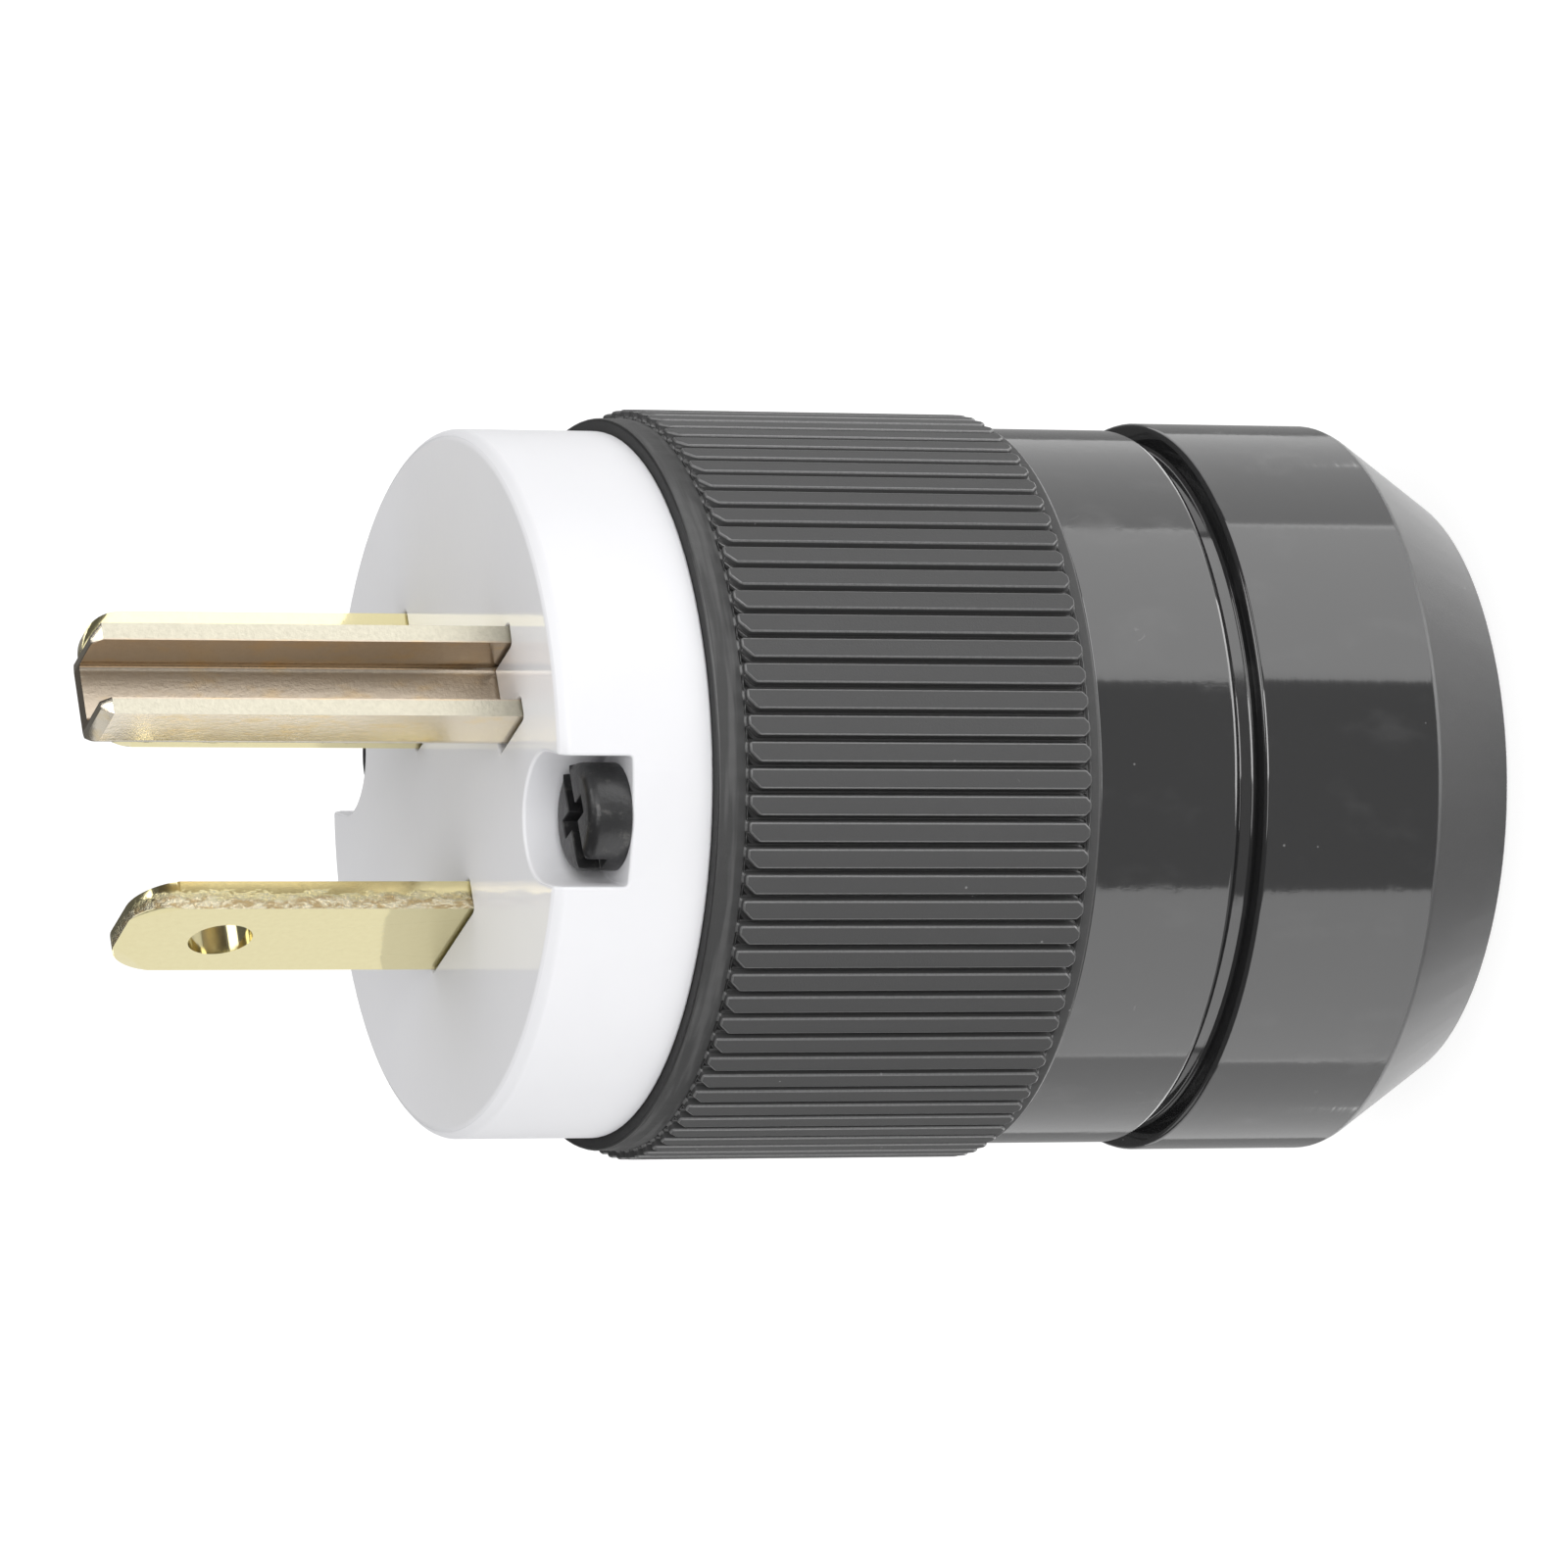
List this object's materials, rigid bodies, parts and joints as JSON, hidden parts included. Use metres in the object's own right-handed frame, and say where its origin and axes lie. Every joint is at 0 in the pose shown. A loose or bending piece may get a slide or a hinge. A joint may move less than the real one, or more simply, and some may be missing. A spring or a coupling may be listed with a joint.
{
  "type": "straight blade plug",
  "caption": "Round grounding plug with flat blades, a folded U ground pin, a white face and a ribbed black grip that clamps a cord at its rear.",
  "frame": {"origin": "centre of the flat rear end, on the plug's axis", "axes": "+Z along the plug's axis from the rear end to the blade tips, +X towards the neutral blade, -Y towards the ground pin"},
  "size_m": [0.0348, 0.0348, 0.0675],
  "materials": {
    "white_nylon": "satin moulded nylon",
    "black_grip_nylon": "semi-matte moulded nylon",
    "black_gloss_nylon": "glossy moulded nylon",
    "carrier_nylon": "matte moulded nylon",
    "brass": "bright stamped brass",
    "plated_brass": "dull nickel plate on brass",
    "black_steel": "blackened steel",
    "brass_screw": "bright brass screw",
    "plated_screw": "zinc plated steel",
    "green_screw": "green dyed plating",
    "rubber": "matte rubber"
  },
  "bodies": {
    "root": {"front_face": "white_nylon", "grip_shell": "black_grip_nylon", "rear_housing": "black_gloss_nylon", "contact_carrier": "carrier_nylon", "hot_blade": "brass", "neutral_blade": "brass", "ground_pin": "plated_brass", "hot_clamp_plate": "brass", "neutral_clamp_plate": "brass", "ground_clamp_plate": "plated_brass", "hot_terminal_screw": "brass_screw", "neutral_terminal_screw": "plated_screw", "ground_terminal_screw": "green_screw", "assembly_screw_a": "black_steel", "assembly_screw_b": "black_steel", "threaded_insert_a": "brass", "threaded_insert_b": "brass", "clamp_jaw_a": "carrier_nylon", "clamp_jaw_b": "carrier_nylon", "cord_seal": "rubber"}
  },
  "joints": []
}
